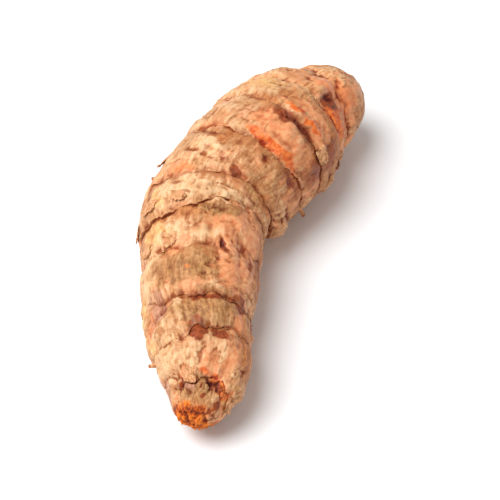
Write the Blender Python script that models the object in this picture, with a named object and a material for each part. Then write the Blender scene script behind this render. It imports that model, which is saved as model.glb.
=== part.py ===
"""One whole turmeric finger, lying on its side on a flat surface.

The rhizome is one solid. A centre line bends through it, from the narrow end, which was snapped off and has a
rough scar, to the blunt end. Leaf-scar rings divide the skin into bands. The near edge of each band is a torn
lip that stands proud of the band before it. Buds sit beside some rings, and the stubs of thin roots stand out
of the flanks. The underside is pressed flat where it rests. Sizes are in millimetres here and become metres
when the mesh is made. The origin is under the middle of the part, on the surface that it lies on.
"""

import math
from dataclasses import dataclass

import bmesh
import bpy
import numpy as np

MM = 0.001

# Centre line from the narrow end to the blunt end: across, along and above the surface
CENTRE_LINE = [
    (-8.3, -36.0, 5.6),
    (-7.1, -26.7, 7.8),
    (-8.4, -16.8, 8.5),
    (-7.8, -7.8, 9.4),
    (-7.6, 1.0, 9.8),
    (-4.2, 8.4, 10.3),
    (1.4, 15.1, 10.9),
    (6.2, 21.9, 10.6),
    (11.8, 27.8, 9.7),
    (18.2, 33.0, 8.6),
]

# Radius of the body, lips aside: (distance along the centre line, radius)
GIRTH = [
    (0.0, 3.5),
    (2.4, 4.5),
    (4.6, 5.4),
    (8.2, 6.7),
    (12.0, 7.6),
    (16.5, 8.0),
    (21.0, 8.4),
    (25.5, 9.0),
    (30.0, 9.2),
    (35.0, 9.7),
    (40.0, 9.7),
    (45.0, 10.0),
    (50.0, 10.7),
    (55.0, 10.9),
    (60.0, 10.6),
    (65.0, 9.7),
    (70.0, 8.0),
]
BLUNT_END_START = 65.0
BLUNT_END_POWER = 2.3
OVAL = 0.03


@dataclass
class Ring:
    """A leaf-scar ring. Angles run from 0 at the top to +90 at the right flank, seen from the narrow end."""

    along: float
    lip: float
    lean: float
    lean_angle: float


RINGS = [
    Ring(along=4.2, lip=0.70, lean=0.7, lean_angle=-30.0),
    Ring(along=11.0, lip=0.40, lean=0.5, lean_angle=150.0),
    Ring(along=17.8, lip=0.70, lean=1.3, lean_angle=-120.0),
    Ring(along=27.2, lip=0.35, lean=1.2, lean_angle=110.0),
    Ring(along=35.2, lip=0.85, lean=2.4, lean_angle=105.0),
    Ring(along=41.4, lip=0.60, lean=3.0, lean_angle=95.0),
    Ring(along=50.4, lip=0.60, lean=2.6, lean_angle=100.0),
    Ring(along=56.9, lip=0.65, lean=0.6, lean_angle=30.0),
    Ring(along=63.6, lip=0.50, lean=1.8, lean_angle=90.0),
    Ring(along=70.4, lip=0.30, lean=0.6, lean_angle=60.0),
]
# Shares of the way across a band at which it gets a row of points
BAND_SHARES = (0.0, 0.12, 0.32, 0.55, 0.78, 0.985)
LIP_FADE = 0.22
GROOVE = 0.35
GROOVE_FADE = 0.10
SWELL = 0.18
# How much a lip's line and its height vary round the body
TORN_LINE = 0.30
TORN_HEIGHT = 0.35
# Waves of both: turns round the body, how fast each turns with distance or band number, and its share
LINE_WAVES = ((3, 1.0, 1.0), (8, 2.3, 0.6))
HEIGHT_WAVES = ((2, 1.7, 1.0), (5, 1.0, 0.6))


@dataclass
class Bud:
    """A dormant bud: a low round dome with a sunk rim."""

    along: float
    angle: float
    radius: float
    height: float


BUDS = [
    Bud(along=26.3, angle=32.0, radius=1.9, height=0.55),
    Bud(along=38.4, angle=-148.0, radius=2.7, height=0.9),
    Bud(along=46.6, angle=112.0, radius=3.0, height=1.2),
    Bud(along=53.6, angle=-116.0, radius=2.6, height=0.9),
    Bud(along=60.6, angle=118.0, radius=2.4, height=0.8),
    Bud(along=68.6, angle=18.0, radius=2.8, height=0.7),
]
BUD_DOME = 0.75
BUD_DOME_POWER = 4
BUD_RIM = 1.1
BUD_RIM_WIDTH = 0.25
BUD_RIM_DEPTH = 0.3


@dataclass
class Rootlet:
    """The stub of a thin root, standing out of the skin."""

    along: float
    angle: float
    length: float


ROOTLETS = [
    Rootlet(along=9.9, angle=-92.0, length=1.5),
    Rootlet(along=22.6, angle=124.0, length=1.6),
    Rootlet(along=31.2, angle=-124.0, length=1.9),
    Rootlet(along=42.2, angle=-84.0, length=1.4),
    Rootlet(along=48.4, angle=-134.0, length=1.6),
    Rootlet(along=54.6, angle=128.0, length=1.8),
    Rootlet(along=66.8, angle=134.0, length=1.5),
    Rootlet(along=72.6, angle=-104.0, length=1.2),
]
ROOTLET_RADIUS = 0.55
ROOTLET_TIP_RADIUS = 0.3
ROOTLET_SINK = 2.0
ROOTLET_SIDES = 6

# The scar of the narrow end bulges a little and is rough
SCAR_BULGE = 1.2
SCAR_ROUGHNESS = 0.25
# Waves of the roughness: turns round the scar, and how far each twists from the middle to the rim
SCAR_WAVES = ((3, 9.0), (5, -4.0))
SCAR_SHARES = (0.35, 0.68, 0.9)

SIDES = 56
BLUNT_END_ROWS = 7

# Broad swellings of the whole body
LUMP_SEED = 7
LUMP_WAVES = 14
LUMP_HEIGHT = 0.30
LUMP_FASTEST = 0.35
LUMP_MOST_TURNS = 4
# Distance from either end over which lips and swellings grow to their full height
END_CALM = 5.0
# Their share of it at the rim of the scar
SCAR_RIM_RELIEF = 0.4

SKIN_COLOUR = (0.62, 0.34, 0.16, 1.0)
SKIN_ROUGHNESS = 0.75
SHARP_ANGLE = math.radians(40)


def natural_spline(knots, values, at):
    """Natural cubic spline through values at knots, read at the positions in at."""
    knots = np.asarray(knots, float)
    values = np.asarray(values, float)
    step = np.diff(knots)
    count = len(knots)
    matrix = np.eye(count)
    target = np.zeros_like(values)
    for i in range(1, count - 1):
        matrix[i, i - 1 : i + 2] = (step[i - 1], 2 * (step[i - 1] + step[i]), step[i])
        rise = (values[i + 1] - values[i]) / step[i]
        target[i] = 6 * (rise - (values[i] - values[i - 1]) / step[i - 1])
    bend = np.linalg.solve(matrix, target)
    i = np.clip(np.searchsorted(knots, at, side="right") - 1, 0, count - 2)
    shape = (-1,) + (1,) * (values.ndim - 1)
    size = step[i].reshape(shape)
    after = (np.asarray(at) - knots[i]).reshape(shape)
    before = size - after
    curved = (bend[i] * before**3 + bend[i + 1] * after**3) / (6 * size)
    start = (values[i] / size - bend[i] * size / 6) * before
    end = (values[i + 1] / size - bend[i + 1] * size / 6) * after
    return curved + start + end


class CentreLine:
    """The centre line, read by distance along it."""

    SAMPLES = 800
    HALF_STEP = 0.5

    def __init__(self, points):
        points = np.asarray(points, float)
        chords = np.linalg.norm(np.diff(points, axis=0), axis=1)
        knots = np.concatenate([[0.0], np.cumsum(chords)])
        self.places = natural_spline(knots, points, np.linspace(0, knots[-1], self.SAMPLES))
        steps = np.linalg.norm(np.diff(self.places, axis=0), axis=1)
        self.distances = np.concatenate([[0.0], np.cumsum(steps)])
        self.length = self.distances[-1]

    def place(self, along):
        return np.stack([np.interp(along, self.distances, axis) for axis in self.places.T], axis=-1)

    def frame(self, along):
        """Unit vectors along the line, to its right and upwards."""
        ahead = self.place(np.minimum(along + self.HALF_STEP, self.length))
        forward = ahead - self.place(np.maximum(along - self.HALF_STEP, 0.0))
        forward /= np.linalg.norm(forward, axis=-1, keepdims=True)
        right = np.cross(forward, (0.0, 0.0, 1.0))
        right /= np.linalg.norm(right, axis=-1, keepdims=True)
        return forward, right, np.cross(right, forward)

    def outward(self, along, angle):
        """Unit vector away from the line, square to it."""
        _, right, up = self.frame(along)
        return np.sin(angle)[..., None] * right + np.cos(angle)[..., None] * up


LINE = CentreLine(CENTRE_LINE)


def girth(along):
    """Radius of the smooth body, with its blunt end rounded off."""
    stations, radii = zip(*GIRTH)
    inside = np.clip(along, 0.0, stations[-1])
    radius = natural_spline(stations, radii, np.ravel(inside)).reshape(np.shape(along))
    share = np.clip((along - BLUNT_END_START) / (LINE.length - BLUNT_END_START), 0.0, 1.0)
    return radius * (1 - share**BLUNT_END_POWER) ** (1 / BLUNT_END_POWER)


def wave_sum(waves, angle, place):
    """Sum of waves round the body, each turned by its own pace times the place."""
    return sum(share * np.cos(turns * angle + pace * place) for turns, pace, share in waves)


def ring_line(ring, angle):
    """Where a ring crosses each angle, as a distance along the centre line. It wavers as torn skin does."""
    lean = ring.lean * np.cos(angle - math.radians(ring.lean_angle))
    return ring.along + lean + TORN_LINE * wave_sum(LINE_WAVES, angle, ring.along)


def lumps(along, angle):
    """Broad swellings of the whole body, from a few seeded waves."""
    draw = np.random.default_rng(LUMP_SEED)
    total = np.zeros(np.broadcast(along, angle).shape)
    for _ in range(LUMP_WAVES):
        turns = draw.integers(1, LUMP_MOST_TURNS + 1)
        pace = draw.uniform(-LUMP_FASTEST, LUMP_FASTEST)
        phase = draw.uniform(0, 2 * math.pi)
        total += np.cos(turns * angle + pace * along + phase) / turns
    return LUMP_HEIGHT * total / math.sqrt(LUMP_WAVES)


def bud_relief(along, angle):
    """Height that the buds add. Each dome has a sunk rim round it."""
    height = np.zeros(np.broadcast(along, angle).shape)
    for bud in BUDS:
        turn = np.angle(np.exp(1j * (angle - math.radians(bud.angle))))
        across = turn * girth(bud.along)
        away = np.hypot(along - bud.along, across) / bud.radius
        dome = np.exp(-((away / BUD_DOME) ** BUD_DOME_POWER))
        rim = np.exp(-(((away - BUD_RIM) / BUD_RIM_WIDTH) ** 2))
        height += bud.height * (dome - BUD_RIM_DEPTH * rim)
    return height


def band_relief(angle, band, share):
    """Height of a band's torn lip, its swollen middle and the groove under the next lip."""
    lip = RINGS[band - 1].lip if band else 0.0
    groove = GROOVE if band < len(RINGS) else 0.0
    torn = 1 + TORN_HEIGHT * wave_sum(HEIGHT_WAVES, angle, band)
    swell = SWELL * math.sin(math.pi * share)
    return lip * torn * math.exp(-share / LIP_FADE) + swell - groove * math.exp(-(1 - share) / GROOVE_FADE)


def skin_radius(along, angle, band, share):
    """Radius of the skin. A share of 0 is the band's own lip, and 1 is under the lip of the next band."""
    smooth = girth(along) * (1 + OVAL * (np.abs(np.sin(angle)) - 0.5))
    near_scar = np.clip(along / END_CALM, SCAR_RIM_RELIEF, 1.0)
    calm = near_scar * np.clip((LINE.length - along) / END_CALM, 0.0, 1.0)
    return smooth + calm * (band_relief(angle, band, share) + lumps(along, angle)) + bud_relief(along, angle)


def skin_row(along, angle, band, share):
    """A row of points round the skin. What would reach below the surface is pressed flat on it."""
    radius = skin_radius(along, angle, band, share)
    row = LINE.place(along) + radius[:, None] * LINE.outward(along, angle)
    row[:, 2] = np.maximum(row[:, 2], 0.0)
    return row


def scar_rows(angle):
    """Rows of the scar, from near its middle to near its rim."""
    start = np.zeros_like(angle)
    rim = skin_radius(start, angle, 0, 0.0)
    forward, _, _ = LINE.frame(start)
    middle = LINE.place(start)
    out = LINE.outward(start, angle)
    for share in SCAR_SHARES:
        rough = SCAR_ROUGHNESS
        for turns, twist in SCAR_WAVES:
            rough = rough * np.cos(turns * angle + twist * share)
        bulge = SCAR_BULGE * (1 - share**2) + rough
        yield middle + (rim * share)[:, None] * out - bulge[:, None] * forward


def band_rows(angle):
    """Rows of skin from the rim of the scar to the blunt end."""
    edges = [np.zeros_like(angle)] + [ring_line(ring, angle) for ring in RINGS]
    for band, (near, far) in enumerate(zip(edges, edges[1:])):
        for share in BAND_SHARES:
            yield skin_row(near + share * (far - near), angle, band, share)
    for step in range(BLUNT_END_ROWS):
        share = math.sin(0.5 * math.pi * step / BLUNT_END_ROWS)
        yield skin_row(edges[-1] + share * (LINE.length - edges[-1]), angle, len(RINGS), share)


def loft(mesh_name, first_point, rows, last_point):
    """One closed skin: a fan of triangles, each row joined to the next, and a fan."""
    bm = bmesh.new()
    loops = [[bm.verts.new(point * MM) for point in row] for row in rows]
    first = bm.verts.new(first_point * MM)
    last = bm.verts.new(last_point * MM)
    count = len(loops[0])
    for i in range(count):
        j = (i + 1) % count
        bm.faces.new((first, loops[0][i], loops[0][j]))
        bm.faces.new((last, loops[-1][j], loops[-1][i]))
        for lower, upper in zip(loops, loops[1:]):
            bm.faces.new((lower[i], upper[i], upper[j], lower[j]))
    bmesh.ops.recalc_face_normals(bm, faces=bm.faces)
    mesh = bpy.data.meshes.new(mesh_name)
    bm.to_mesh(mesh)
    bm.free()
    return mesh


def body_mesh():
    """The rhizome without its rootlets. Its seam runs along the underside."""
    angle = math.pi + np.arange(SIDES) * 2 * math.pi / SIDES
    forward, _, _ = LINE.frame(0.0)
    scar_middle = LINE.place(0.0) - SCAR_BULGE * forward
    return loft("turmeric_root", scar_middle, [*scar_rows(angle), *band_rows(angle)], LINE.place(LINE.length))


def rootlet_mesh(rootlet, name):
    """A short tapered stub with its foot sunk in the body."""
    out = LINE.outward(rootlet.along, np.array(math.radians(rootlet.angle)))
    forward, _, _ = LINE.frame(rootlet.along)
    side = np.cross(forward, out)
    turn = np.arange(ROOTLET_SIDES) * 2 * math.pi / ROOTLET_SIDES
    round_about = np.cos(turn)[:, None] * forward + np.sin(turn)[:, None] * side
    foot = LINE.place(rootlet.along) + (girth(rootlet.along) - ROOTLET_SINK) * out
    tip = foot + (ROOTLET_SINK + rootlet.length) * out
    rows = [foot + ROOTLET_RADIUS * round_about, tip + ROOTLET_TIP_RADIUS * round_about]
    return loft(name, foot, rows, tip)


def join_rootlets(body):
    """Fuses the rootlets to the body with one union, and removes the loose ones."""
    loose = bpy.data.collections.new("rootlets")
    bpy.context.scene.collection.children.link(loose)
    for number, rootlet in enumerate(ROOTLETS):
        name = f"rootlet_{number}"
        loose.objects.link(bpy.data.objects.new(name, rootlet_mesh(rootlet, name)))
    union = body.modifiers.new("rootlets", "BOOLEAN")
    union.operation = "UNION"
    union.operand_type = "COLLECTION"
    union.collection = loose
    joined = bpy.data.meshes.new_from_object(body.evaluated_get(bpy.context.evaluated_depsgraph_get()))
    body.modifiers.clear()
    body.data = joined
    for rootlet in list(loose.objects):
        bpy.data.objects.remove(rootlet)
    bpy.data.collections.remove(loose)


def centre_on_origin(body):
    """Moves the mesh so that its box is centred over the origin. Its underside is already at zero."""
    places = np.array([vertex.co for vertex in body.data.vertices])
    middle = (places.min(axis=0) + places.max(axis=0)) / 2
    for vertex in body.data.vertices:
        vertex.co.x -= middle[0]
        vertex.co.y -= middle[1]


def skin_material():
    material = bpy.data.materials.new("turmeric_skin")
    material.use_nodes = True
    shader = material.node_tree.nodes["Principled BSDF"]
    shader.inputs["Base Color"].default_value = SKIN_COLOUR
    shader.inputs["Roughness"].default_value = SKIN_ROUGHNESS
    shader.inputs["Metallic"].default_value = 0.0
    return material


def main():
    for leftover in list(bpy.data.objects):
        bpy.data.objects.remove(leftover)
    body = bpy.data.objects.new("turmeric_root", body_mesh())
    bpy.context.scene.collection.objects.link(body)
    join_rootlets(body)
    centre_on_origin(body)
    body.data.materials.clear()
    body.data.materials.append(skin_material())
    body.data.shade_smooth()
    body.data.set_sharp_from_angle(angle=SHARP_ANGLE)


main()
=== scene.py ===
"""Looks of one whole turmeric finger on a pale floor.

The skin is one fine mesh that follows the part's own centre line, girth, rings, lumps and buds. It adds
torn lips that overhang their grooves, fibres, wrinkles, pits, missing patches of scale and a granular
scar. Colour comes from masks that are kept on the mesh and from noise. Some of it is painted shade: in
the hollows, grooves and scar, and along the right flank. Some is painted light: along the left flank,
and partly on the pale lip edges. Sizes are in millimetres until a mesh is made, and angles of marks and
forms are in degrees.
"""

import itertools
import math
from collections import namedtuple

import bpy
import numpy as np
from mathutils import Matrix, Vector


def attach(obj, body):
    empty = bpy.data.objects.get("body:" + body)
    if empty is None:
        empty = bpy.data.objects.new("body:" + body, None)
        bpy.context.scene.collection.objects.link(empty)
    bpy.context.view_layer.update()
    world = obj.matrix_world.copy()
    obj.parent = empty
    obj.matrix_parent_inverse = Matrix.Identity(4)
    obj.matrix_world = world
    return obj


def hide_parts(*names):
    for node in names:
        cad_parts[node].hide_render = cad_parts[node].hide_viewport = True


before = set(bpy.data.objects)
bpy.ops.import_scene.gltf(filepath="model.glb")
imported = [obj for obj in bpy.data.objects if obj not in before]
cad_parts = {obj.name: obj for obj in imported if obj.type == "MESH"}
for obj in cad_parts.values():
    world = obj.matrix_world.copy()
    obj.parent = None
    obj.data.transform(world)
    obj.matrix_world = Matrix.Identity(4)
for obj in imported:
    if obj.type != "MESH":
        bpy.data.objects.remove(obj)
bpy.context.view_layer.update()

MM = 0.001
NODE = "turmeric_root"
BODY = "root"

# The part's form: the same driving values as its source

CENTRE_LINE = [
    (-8.3, -36.0, 5.6), (-7.1, -26.7, 7.8), (-8.4, -16.8, 8.5), (-7.8, -7.8, 9.4),
    (-7.6, 1.0, 9.8), (-4.2, 8.4, 10.3), (1.4, 15.1, 10.9), (6.2, 21.9, 10.6),
    (11.8, 27.8, 9.7), (18.2, 33.0, 8.6),
]
# The part's box is centred over its origin, which moves its centre line by this much
CENTRING = (-0.63, 1.01, 0.0)

# Radius at distances along the line
GIRTH = [
    (0.0, 3.5), (2.4, 4.5), (4.6, 5.4), (8.2, 6.7), (12.0, 7.6), (16.5, 8.0),
    (21.0, 8.4), (25.5, 9.0), (30.0, 9.2), (35.0, 9.7), (40.0, 9.7), (45.0, 10.0),
    (50.0, 10.7), (55.0, 10.9), (60.0, 10.6), (65.0, 9.7), (70.0, 8.0),
]
BLUNT_END_START = 65.0
BLUNT_END_POWER = 2.3
OVAL = 0.03

# A leaf-scar ring. Angles run from 0 at the top to +90 at the right, seen from the narrow end.
# torn says how crisp and overhanging its lip is at some angles: 0 is a soft step, 1 a torn edge.
Ring = namedtuple("Ring", "along lip lean lean_angle torn")
RINGS = [Ring(*row) for row in (
    (4.2, 0.70, 0.7, -30, ((-100, 0.2), (-40, 0.1), (-10, 0.35), (45, 0.75), (90, 0.5), (180, 0.3))),
    (11, 0.40, 0.5, 150, ((-60, 0), (-22, 0.15), (-12, 0.5), (28, 0.35), (45, 0.1), (150, 0.6))),
    (17.8, 0.70, 1.3, -120, ((-90, 0.2), (-30, 0), (-8, 0.25), (25, 0.2), (35, 0.1), (52, 0.4), (200, 0.3))),
    (27.2, 0.35, 1.2, 110, ((-70, 0.35), (-30, 0.25), (-5, 0.15), (20, 0), (60, 0.1), (160, 0.6))),
    (35.2, 0.85, 2.4, 105, ((-90, 0.5), (-40, 0.4), (0, 0.65), (25, 0.4), (50, 0.1), (140, 0.2), (220, 0.9))),
    (41.4, 0.60, 3, 95, ((-90, 0.6), (-60, 0.35), (-25, 0.1), (60, 0.1), (120, 0.7), (220, 0.3))),
    (50.4, 0.60, 2.6, 100, ((-80, 0.3), (-30, 0), (-8, 0.5), (10, 0), (60, 0.4), (170, 0.2))),
    (56.9, 0.65, 0.6, 30, ((-90, 0.4), (-40, 0), (15, 0), (40, 0), (62, 0.2), (90, 0.3), (150, 0.3))),
    (63.6, 0.50, 1.8, 90, ((-90, 0.3), (0, 0), (35, 0), (80, 0.15), (160, 0.3))),
    (70.4, 0.30, 0.6, 60, ((-90, 0.1), (0, 0), (60, 0), (90, 0.1), (180, 0.5))),
)]
LIP_FADE = 0.22
GROOVE = 0.35
SWELL = 0.18
TORN_LINE = 0.30
TORN_HEIGHT = 0.35
# Waves of both: turns round the body, how fast each turns with distance or band number, and its share
LINE_WAVES = ((3, 1.0, 1.0), (8, 2.3, 0.6))
HEIGHT_WAVES = ((2, 1.7, 1.0), (5, 1.0, 0.6))
# Noise of a lip's height, its line and how torn it is: share, detail round it, pace and seed
HEIGHT_LAYERS = ((0.45, 3.5, 1.37, 31), (0.35, 9.0, 1.37, 32))
LINE_LAYERS = ((1.0, 4.0, 1.91, 41), (0.6, 11.0, 1.91, 42), (0.35, 30.0, 1.91, 43))
TORN_LAYERS = ((0.9, 5.0, 1.31, 51),)
LEAST_HEIGHT = 0.1

# A dormant bud: a low round dome with a sunk rim
Bud = namedtuple("Bud", "along angle radius height")
BUDS = [Bud(*row) for row in (
    (26.3, 32.0, 1.9, 0.55), (38.4, -148.0, 2.7, 0.9), (46.6, 112.0, 3.0, 1.2),
    (53.6, -116.0, 2.6, 0.9), (60.6, 118.0, 2.4, 0.8), (68.6, 18.0, 2.8, 0.7),
)]
BUD_DOME = 0.75
BUD_DOME_POWER = 4
BUD_RIM = 1.1
BUD_RIM_WIDTH = 0.25
BUD_RIM_DEPTH = 0.3
BUD_WANDER = 0.28

# The stub of a thin root, standing out of the skin
Rootlet = namedtuple("Rootlet", "along angle length")
ROOTLETS = [Rootlet(*row) for row in (
    (9.9, -92.0, 1.5), (22.6, 124.0, 1.6), (31.2, -124.0, 1.9), (42.2, -84.0, 1.4),
    (48.4, -134.0, 1.6), (54.6, 128.0, 1.8), (66.8, 134.0, 1.5), (72.6, -104.0, 1.2),
)]
ROOTLET_RADIUS = 0.55
ROOTLET_TIP_RADIUS = 0.3
ROOTLET_DEPTH = 0.8
ROOTLET_DROOP = 0.35
ROOTLET_POINTS = 12
ROOTLET_SIDES = 16
ROOTLET_ROUGHNESS = 0.35

SCAR_BULGE = 1.2
SCAR_PINCH = 0.12
SCAR_PINCH_REACH = 0.6
SCAR_GRAIN = 0.8
SCAR_SEED = 101
# Where the collar covers the scar: the middle and half width in degrees, and from where outwards
OVERGROWN_ANGLE = 68.0
OVERGROWN_WIDTH = 26.0
OVERGROWN_RIM = (0.62, 0.88)
# The ragged collar: its place along the root, reach, half width in degrees and relief
COLLAR_ALONG = 3.0
COLLAR_REACH = 1.5
COLLAR_EDGE = (75.0, 45.0)
COLLAR_ROUGHNESS = 0.75

LUMP_SEED = 7
LUMP_WAVES = 14
LUMP_HEIGHT = 0.30
LUMP_FASTEST = 0.35
LUMP_MOST_TURNS = 4
# Relief fades out over this distance towards the blunt end, and to this share of it at the scar
END_CALM = 5.0
SCAR_RIM_RELIEF = 0.4

# The fine skin

ROW_STEP = 0.17
COLUMNS = 400
SCAR_ROWS = 24
BLUNT_END_ROWS = 60
LIP_THICKNESS = 0.16
WORN_TOP = 0.35
OVERHANG = 0.25
OVERHANG_FADE = 1.2
RAGGED_LINE = 0.5
SOFT_STEP = 1.7
GROOVE_REACH = 0.7
GROOVE_SHADE_REACH = 0.35
PALE_EDGE_REACH = 0.9
FLOOR_GAP = 0.02
# How strongly painted shade darkens each kind of hollow, per millimetre
SMALL_HOLLOWS = 0.9
WIDE_HOLLOWS = 0.95
BUD_RIM_HOLLOWS = 0.05
END_HOLLOWS = 1.5
# Heights of the fine relief
SCALE_THICKNESS = 0.13
KNOBS = 0.9
FIBRES = 0.05
WRINKLES = 0.022
GRAIN = 0.012
PEELED_SCALE = 0.07
FOLD_LINES = 0.04
FOLD_WANDER = 0.5
FOLD_FALL = 1.3
CREASE_WIDTH = 0.05
# Noise of the fine relief: share, size along and across in millimetres, and seed
FIBRE_LAYERS = ((1.0, 5.5, 0.60, 5), (0.6, 3.0, 0.30, 6))
WRINKLE_LAYERS = ((1.0, 0.55, 2.6, 7), (0.5, 0.28, 1.4, 8))
CREASE_LAYERS = ((1.0, 1.9, 6.0, 14), (0.6, 6.0, 1.6, 15))
PIT_DEPTH = 0.10
SCAR_ROUGHNESS = 0.55
END_RING_STEP = 1.7
END_RING_HEIGHT = 0.09
END_ROUGHNESS = 0.8
LEAST_RADIUS = 0.02
BAND_SHIFT = (9.7, 3.1, 5.3)
PIT_SEED = 21
PIT_COUNT = 70
PIT_SIZES = (0.22, 0.5)
PIT_RIM = 1.35
PIT_RIM_WIDTH = 0.4
PIT_RIM_HEIGHT = 0.45

# A patch of colour or missing scale, with an irregular outline. Its length is along the root, its
# width around it and its turn in degrees. Some broad marks along the flanks, and some small ones in
# hollows, are painted light and shade, as noted at their rows.
Mark = namedtuple("Mark", "kind along angle length width strength turn", defaults=[0])
MARK_ROWS = {
    "bare": (
        (6.3, 19, 4, 2, 1.4), (6.6, 2, 3.4, 1.6, 1.2), (7.6, 38, 4.2, 1.8, 1.2),
        (8.8, 50, 4, 3, 0.7), (22.6, 44, 7.6, 7.6, 1.2), (29.2, 10, 2.4, 8, 0.8),
        (30, 36, 7, 10.4, 1.25), (37.6, 18, 2.4, 3.6, 0.7), (41.4, -36, 2, 5, 0.9),
        (54.2, 26, 4.8, 11, 1.6), (55.6, 66, 4.6, 4, 0.9), (60.4, 40, 3.8, 9, 1.4),
        (69.2, 18, 5, 5.6, 1.1), (71, 50, 5, 8, 1.2),
    ),
    "pale": (
        # The broad pale marks of the left flank, near -60 degrees, are painted light on the side the lamp
        # falls on.
        (2.4, -2, 1.6, 1.6, 0.8), (7.9, -18, 5, 5.6, 0.65), (8, -60, 10, 7, 0.85),
        (8.6, 28, 4, 1.4, 0.8), (9.4, 12, 2.4, 5.4, 0.6), (13.6, -40, 3, 2.4, 0.7),
        (15, -24, 5.6, 1.2, 1), (23.5, -62, 12, 7, 0.8), (28.8, 4, 2.4, 6, 0.8),
        (29.2, -34, 4, 9, 0.9), (37, -4, 5, 17, 1), (45.2, -12, 4.6, 8, 0.75),
        (46, -54, 14, 12, 0.6), (59, -34, 14, 12, 0.6), (63, 0, 10, 10, 0.55),
        (68, -20, 9, 8, 0.45),
    ),
    "yellow": (
        (2.8, 82, 3.6, 3, 0.8), (3.6, 58, 2.4, 3.6, 1.4), (12.4, -80, 3.4, 2.6, 0.9),
        (13.2, -2, 2, 3, 0.5), (18.2, -78, 4, 3.4, 0.8), (23.2, -4, 2.6, 2.4, 0.8),
        (30.2, -52, 5, 5.4, 0.85), (36.2, -50, 4, 3.6, 1), (42.6, 50, 3, 3.6, 0.6),
        (61.2, -24, 4, 7.4, 1), (65.6, 74, 2.6, 3.4, 1.2),
    ),
    "brown": (
        # The long brown marks of the right flank, from 68 to 84 degrees and 8 to 16 mm long, are painted
        # shade and a painted warm reflection on that side.
        (9, -58, 3, 4, 0.35), (9.6, 68, 8, 4.4, 0.75), (10, 84, 10, 3, 0.8),
        (28, 82, 16, 4, 0.8), (32.6, -12, 3.2, 11, 0.85), (44, 72, 6, 6, 0.7),
        (47.7, -9, 0.9, 3.4, 1), (56.5, 78, 13, 7, 0.9), (57.6, -4, 2, 6, 0.8),
        (61, 12, 4, 4.6, 0.7), (61.4, 76, 5, 5.6, 1), (66, 2, 5.4, 9, 0.55),
        (74, 70, 4, 5, 0.5),
    ),
    "olive": (
        (2.9, -8, 4.2, 6.2, 1), (14.3, 6, 6.2, 10.4, 1), (22.4, -28, 6.4, 8, 0.85),
        (22.6, 2, 6.4, 7, 0.9), (33.2, 18, 2.8, 8, 0.9), (37.2, -58, 2, 1.6, 0.7),
        (47, 56, 6.4, 9, 0.5), (51.8, -32, 5, 10, 0.5),
    ),
    "grey": (
        (3.6, -18, 2.2, 2.4, 0.8), (17, -48, 4.6, 4, 1), (53, -14, 3, 4, 0.4),
        (66.6, 32, 3, 3.6, 1),
    ),
    "orange": (
        (3.3, 55, 1.4, 2.6, 0.75), (4.5, 33, 1, 3.4, 1.1, 24), (5.3, 8, 0.8, 2, 0.9),
        (22.4, -9, 1.2, 1.2, 0.55), (40.8, -24, 1.6, 4.4, 0.6), (51.7, 16, 1.4, 4, 1.1),
        (51.9, 34, 1.7, 5, 1.2), (52.5, 51, 1.6, 5.4, 1.05), (59, 24, 1.3, 4, 1),
        (59, 44, 1.5, 5, 1), (60.4, -34, 1, 2.6, 0.5), (65.8, 52, 4.4, 4.4, 0.95),
        (65.8, 68, 4.4, 4.4, 0.8), (70.4, 36, 8, 10, 0.5), (70.6, 62, 1.8, 5, 0.7),
    ),
    "dark": (
        # The small dark marks from 2.2 to 4.2 mm along lie in the holes, slits and crack of the collar behind
        # the scar: painted shade there.
        (1.5, 50, 1.8, 1.6, 1, 10), (2.2, 14, 0.5, 0.9, 0.8), (2.5, -18, 0.9, 0.4, 0.9, -15),
        (3.3, -33, 2, 0.6, 1.2, 10), (3.3, 6, 0.8, 0.3, 0.8, 40), (3.9, 28, 1.1, 3.6, 1.1, 24),
        (3.9, -16, 0.4, 1, 1.3, 30), (4.2, -24, 0.5, 0.8, 1), (10.5, 23, 1.5, 2.8, 1),
        (11.4, -7, 3.2, 3.4, 1.25, -20), (14.4, 80, 2.4, 1.6, 0.9), (16.4, 53, 3.6, 2.6, 1.15, -20),
        # The dark mark at 26.8 mm along lies in the crease by the bud: painted shade there.
        (16.5, 9, 1.7, 6.2, 0.9), (26, 62, 2.6, 1, 0.8), (26.8, 25, 3.2, 1, 1.2, -20),
        # The long dark marks of the right flank, at 30 and 57.5 mm along, are painted shade on that side.
        (30, 84, 14, 3, 0.4), (43.5, 24, 2, 3, 0.85, 20), (49.4, 38, 1.6, 1.2, 0.75),
        (51.2, 66, 1.2, 5, 0.8, -10), (57, 20, 2.2, 5, 0.75), (57.2, 42, 2.2, 5.6, 0.65),
        (57.5, 76, 12, 6, 0.65), (66.6, 39, 3.4, 4, 0.75),
    ),
}
# Blotches of noise: kind, strength, noise at their rim and inside, size, seed and layers
BLOTCHES = (
    ("bare", 0.85, 0.22, 0.36, 5.5, 61, 4), ("pale", 0.5, 0.1, 0.5, 7.0, 71, 3),
    ("olive", 0.45, 0.1, 0.5, 6.0, 81, 3), ("dark", 0.3, 0.42, 0.55, 2.2, 91, 3),
)
KINDS = tuple(MARK_ROWS)
MARKS = [Mark(kind, *row) for kind, rows in MARK_ROWS.items() for row in rows]
MARK_WANDER = 0.22
LEAST_WANDER = 0.25
MARK_OUTLINE = (1.55, 0.45)
# Marks of the sides that the photo doesn't show: the angles, the share of each kind, and the spans
# of length, width and strength
HIDDEN_MARK_SEED = 5
HIDDEN_MARKS = 64
HIDDEN_FROM = 100.0
HIDDEN_TO = 262.0
HIDDEN_SHARES = (0.24, 0.16, 0.1, 0.12, 0.14, 0.08, 0.06, 0.1)
HIDDEN_SPANS = ((1.4, 6.0), (1.6, 8.0), (0.5, 1.0))
# The crack beside the scar
CRACK = Mark("crack", 3.8, 29, 1.2, 3.6, 0.8, 24)

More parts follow.
